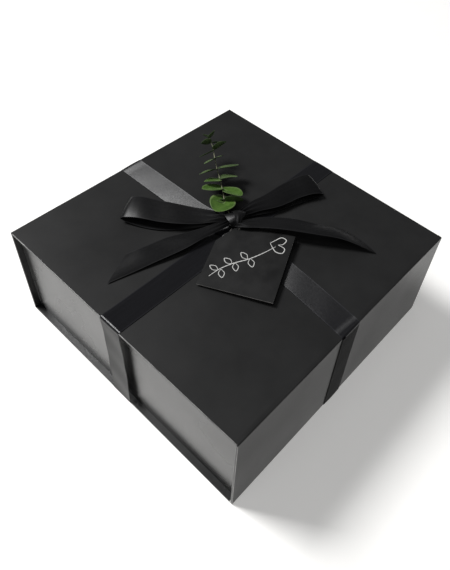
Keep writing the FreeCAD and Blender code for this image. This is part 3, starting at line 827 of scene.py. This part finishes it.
def build_tag():
    """A black card with one clipped corner, a punched hole and paler cut edges, brightened into a
    painted highlight line.
    """
    outline = [(-7.5, 0), (20.5, -17), (74.5, -17), (74.5, 55), (-7.5, 55)]
    hole = [(1.2 * cos(2 * pi * k / 24), 1.2 * sin(2 * pi * k / 24)) for k in range(24)]
    bm = bmesh.new()
    layers = []
    for height in (0.0, TAG_THICK):
        rings = []
        for ring in (outline, hole):
            verts = [bm.verts.new(on_tag(x, y, height)) for x, y in ring]
            rings.append(verts)
            for first, second in zip(verts, verts[1:] + verts[:1]):
                bm.edges.new((first, second))
        corners = rings[0] + rings[1]
        ring_edges = [edge for edge in bm.edges if all(vert in corners for vert in edge.verts)]
        bmesh.ops.triangle_fill(bm, use_beauty=True, edges=ring_edges)
        layers.append(rings)
    for lower, upper in zip(*layers):
        for k in range(len(lower)):
            after = (k + 1) % len(lower)
            rim = bm.faces.new((lower[k], lower[after], upper[after], upper[k]))
            # The rim takes the cut-edge colour: the card's paler edge, brightened as a painted
            # highlight.
            rim.material_index = 1
    card = make("tag_card_printed", bm, [CARD, CARD_EDGE_AND_HIGHLIGHT], smooth=False)
    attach(card, "tag")
    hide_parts("tag_card")
    draw_motif()


def stroke(name, points, wide=0.5):
    """A chalk stroke pressed on the card: a thin flattened line that swells and fades."""
    line = smooth_line([(x, y, 0) for x, y in points], 12 * len(points))
    bm = bmesh.new()
    rows = []
    for index, point in enumerate(line):
        before = line[max(index - 1, 0)]
        after = line[min(index + 1, len(line) - 1)]
        length = hypot(after[0] - before[0], after[1] - before[1])
        across = (-(after[1] - before[1]) / length, (after[0] - before[0]) / length)
        share = index / (len(line) - 1)
        half = wide * (0.55 + 0.45 * sin(pi * share)) * (1 + 0.18 * sin(index * 1.7))
        row = []
        for side, height in ((-1, 0.0), (-0.5, 0.07), (0, 0.1), (0.5, 0.07), (1, 0.0)):
            row.append(bm.verts.new(on_tag(point[0] + across[0] * side * half,
                                           point[1] + across[1] * side * half,
                                           TAG_THICK + 0.01 + height)))
        rows.append(row)
    for first, second in zip(rows, rows[1:]):
        for k in range(4):
            bm.faces.new((first[k], first[k + 1], second[k + 1], second[k]))
    piece = make(name, bm, [CHALK])
    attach(piece, "tag")


def draw_motif():
    """A hand-drawn twig with small leaves and a heart, in place of any lettering."""
    stroke("chalk_twig", [(63, -9), (52, -2), (42, 8), (33, 20), (22, 31), (11, 40)])
    for number, (x, y, dx, dy) in enumerate(((54, -3, -3, -9), (52, -1, 9, 4), (43, 7, -4, -9),
                                            (41, 9, 9, 4), (33.5, 19, -6, -8), (32, 21, 9, 5))):
        tip = (x + dx, y + dy)
        bulge = (x + dx * 0.5 - dy * 0.28, y + dy * 0.5 + dx * 0.28)
        other = (x + dx * 0.5 + dy * 0.28, y + dy * 0.5 - dx * 0.28)
        stroke("chalk_leaf_%d" % number, [(x, y), bulge, tip, other, (x, y)], 0.4)
    heart = [(8, 34), (3, 38), (-2, 43), (0, 48), (6, 46), (8, 42)]
    stroke("chalk_heart_near", heart)
    stroke("chalk_heart_far", [(8, 42), (11, 49), (17, 48), (17, 42), (12, 37), (8, 34)])


# In millimetres from the middle of the hole, as in the CAD model.
STRING_ROUTE = [
    (4.4, 3.2, 3.2), (2.8, 1.2, 3.9), (0.6, -0.3, 2.7), (0.0, 0.2, -2.0), (-3.5, -3.0, -3.6),
    (-8.5, -3.5, -3.7), (-11.5, 0.8, -3.6), (-8.5, 6.0, -3.0), (-2.8, 6.8, -1.6),
]
STRING_DIAMETER = 0.001


def build_string():
    """The tag's string: out of the knot, down through the hole and back to the knot."""
    curve = bpy.data.curves.new("tag_string_twisted", "CURVE")
    curve.dimensions = "3D"
    curve.resolution_u = 16
    curve.bevel_depth = STRING_DIAMETER / 2
    curve.bevel_resolution = 5
    spline = curve.splines.new("NURBS")
    points = [mm(TAG_HOLE + Vector(point)) for point in STRING_ROUTE]
    spline.points.add(len(points) - 1)
    for target, point in zip(spline.points, points):
        target.co = (*point, 1)
    spline.order_u = 3
    spline.use_endpoint_u = True
    curve.materials.append(STRING)
    string = bpy.data.objects.new("tag_string_twisted", curve)
    bpy.context.scene.collection.objects.link(string)
    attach(string, "tag")
    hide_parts("tag_string")


# ---------------------------------------------------------------- the sprig

SPRIG_TURN = Matrix.Rotation(radians(57.3), 3, "Z") @ Matrix.Rotation(radians(-11.6), 3, "Y")
SPRIG_START = Vector((15.2, 19.7, 7))
STEM_LINE = [(-7, 0, 0), (2, 0.9, 0.1), (13, 1.6, 0.3), (24, 1.2, 0.5), (38, 0.6, 0.4),
             (55, 0.9, 0.5), (72, 0.2, 0.6), (88, -0.6, 0.4), (99, 0.8, 0.8)]
# Each leaf: node pair, place along the stem, side (1 left, -1 right), length, width, sweep towards
# the tip, rise, facing (0 along the stem, 90 upwards), notch at the base, how pointed the tip is,
# where it is widest (small near the base, large near the tip), and the look of its top.
LEAVES = [
    (1, 13.5, 1, 24, 25, -50, 20, 64, 0.9, 0.3, 0.72, LEAF_TOP),
    (1, 13, 1, 12, 13, 50, -10, 60, 0.1, 0, 0.82, LEAF_UNDER),
    (2, 14.5, -1, 20, 15, -10, -3, 8, 0.1, 0, 0.9, LEAF_YOUNG),
    (2, 16.5, 1, 8, 8, 20, -6, 60, 0.1, 0, 0.82, LEAF_YOUNG),
    (3, 29.5, 1, 22, 18, 2, 3, 58, 0.1, 0, 1.0, LEAF_TOP),
    (3, 29, -1, 23.5, 18, -38, 4, 60, 0.1, 0, 1.25, LEAF_TOP),
    (4, 40.5, 1, 18.5, 13, -4, 6, 54, 0.1, 1, 0.9, LEAF_TOP),
    (4, 43, -1, 20.5, 14, 2, -8, 52, 0.1, 0, 0.95, LEAF_UNDER),
    (5, 55.5, 1, 24, 10, -24, 12, 36, 0, 1, 0.9, LEAF_UNDER),
    (5, 55.5, -1, 25, 12, 0, 0, 47, 0, 0.3, 1.3, LEAF_UNDER),
    (6, 68.5, 1, 16, 10, -33, 12, 32, 0, 0, 1.1, LEAF_UNDER),
    (6, 70, -1, 12.5, 6, 20, -14, 36, 0, 0.5, 1.0, LEAF_UNDER),
    (7, 80, 1, 19, 6, -26, 3, 24, 0, 1, 0.9, LEAF_YOUNG),
    (7, 82.5, -1, 17.5, 9, 14, 17, 5, 0, 1, 0.82, LEAF_YOUNG),
    (8, 92.5, 1, 13, 8, -13, 12, -6, 0, 1, 0.82, LEAF_YOUNG),
    (8, 91, -1, 12.5, 4, 6, -12, 24, 0, 1, 0.9, LEAF_YOUNG),
    (9, 98, -1, 11, 5, 32, 38, 12, 0, 1, 0.9, LEAF_YOUNG),
    (9, 98, 1, 9, 5, 40, 6, 24, 0, 0, 1.1, LEAF_UNDER),
]


def on_sprig(point):
    """A point in the sprig's own axes (X up the stem, Y to its left, Z up), as metres."""
    return mm(SPRIG_START + SPRIG_TURN @ Vector(point))


def stem_at(station):
    """The stem's own point at a place along it."""
    line = smooth_line(STEM_LINE, 200)
    nearest = min(line, key=lambda point: abs(point[0] - station))
    return Vector(nearest)


def build_stem():
    """A thin twig, thicker at the knot, with a small swelling where each pair of leaves grows."""
    line = smooth_line(STEM_LINE, 150)
    spokes = 12
    nodes = sorted({station for _, station, *_ in LEAVES})
    bm = bmesh.new()
    rings = []
    for index, point in enumerate(line):
        share = index / (len(line) - 1)
        swell = sum(0.35 * np.exp(-((point[0] - station) / 0.9) ** 2) for station in nodes)
        radius = (0.68 - 0.36 * share) * (1 + swell * 0.5)
        ring = []
        for k in range(spokes):
            angle = 2 * pi * k / spokes
            ring.append(bm.verts.new(on_sprig((point[0], point[1] + radius * cos(angle),
                                               point[2] + radius * sin(angle)))))
        rings.append(ring)
    for first, second in zip(rings, rings[1:]):
        for k in range(spokes):
            after = (k + 1) % spokes
            bm.faces.new((first[k], second[k], second[after], first[after]))
    bm.faces.new(rings[0])
    bm.faces.new(rings[-1])
    stem = make("stem_grown", bm, [TWIG])
    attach(stem, "sprig")
    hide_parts("sprig_stem")


def leaf_frame(side, sweep, rise, facing):
    """The leaf's own axes: X along it, Z out of its upper face."""
    along = Vector((cos(rise) * sin(sweep), side * cos(rise) * cos(sweep), sin(rise)))
    stem = Vector((1, 0, 0))
    forward = (stem - along * along.dot(stem)).normalized()
    upward = forward.cross(along) * side
    face = forward * cos(facing) + upward * sin(facing)
    return Matrix((along, face.cross(along), face)).transposed()


def leaf(name, number, station, side, long, wide, sweep, rise, facing, notch, point, belly, look):
    """A dished blade that clasps the stem, folded a little along its midrib, with a paler rim."""
    turn = leaf_frame(side, radians(sweep), radians(rise), radians(facing))
    base = stem_at(station)
    clasp = 0.8
    thick = 0.35
    rows, columns = 22, 15
    phase = number * 1.7
    bm = bmesh.new()
    uvs = bm.loops.layers.uv.new("blade")
    sheets = []
    for height in (thick / 2, -thick / 2):
        sheet = []
        for i in range(rows):
            u = i / (rows - 1)
            swell = sin(pi * u ** belly) ** (0.5 + 0.5 * point * u) if 0 < u < 1 else 0.0
            row = []
            for j in range(columns):
                v = j / (columns - 1) * 2 - 1
                y = v * (wide / 2 * swell + 0.9 * (1 - u) ** 2 + 0.1)
                x = u * long - clasp - notch * long * 0.35 * abs(v) ** 1.5 * (1 - u) ** 3
                dish = 0.020 * (y * y) * (14 / max(wide, 8)) + 0.0035 * (u * long) ** 2 * 0.6
                fold = 0.10 * abs(y)
                wave = 0.28 * abs(v) ** 2 * sin(7 * u + 2.2 * side + phase)
                edge = 1 - 0.6 * abs(v) ** 8
                place = Vector((x, y, dish + fold + wave + height * edge))
                row.append(bm.verts.new(on_sprig(base + turn @ place)))
            sheet.append(row)
        sheets.append(sheet)
    for which, sheet in enumerate(sheets):
        for i in range(rows - 1):
            for j in range(columns - 1):
                corners = ((i, j), (i + 1, j), (i + 1, j + 1), (i, j + 1))
                face = bm.faces.new([sheet[a][b] for a, b in corners])
                rim = j in (0, columns - 2) or i == rows - 2
                midrib = j in (columns // 2 - 1, columns // 2) and i < rows * 0.7
                face.material_index = (1 if rim or (midrib and which == 0 and i < 6)
                                       else 0 if which == 0 else 2)
                for loop, (a, b) in zip(face.loops, corners):
                    loop[uvs].uv = (a / (rows - 1), b / (columns - 1))
    top, bottom = sheets
    border = ([(i, 0) for i in range(rows)] + [(rows - 1, j) for j in range(1, columns)]
              + [(i, columns - 1) for i in range(rows - 2, -1, -1)]
              + [(0, j) for j in range(columns - 2, 0, -1)])
    for (a, b), (c, d) in zip(border, border[1:] + border[:1]):
        face = bm.faces.new((top[a][b], top[c][d], bottom[c][d], bottom[a][b]))
        face.material_index = 1
    rim_look = LEAF_RIM if look is LEAF_TOP else LEAF_UNDER
    piece = make(name, bm, [look, rim_look, LEAF_UNDER])
    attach(piece, "sprig")
    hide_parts("leaf_pair_%d" % number)


def build_sprig():
    build_stem()
    for number, numbers in enumerate(LEAVES):
        side = "left" if numbers[2] > 0 else "right"
        leaf("leaf_%d_%s_%d" % (numbers[0], side, number), *numbers)


place_camera()
set_the_stage()
build_boards()
build_folds()
build_lid_bands()
build_hinged_bands()
build_side_bands()
build_under_bands()
build_loops()
build_tails()
build_knot()
build_tag()
build_string()
build_sprig()
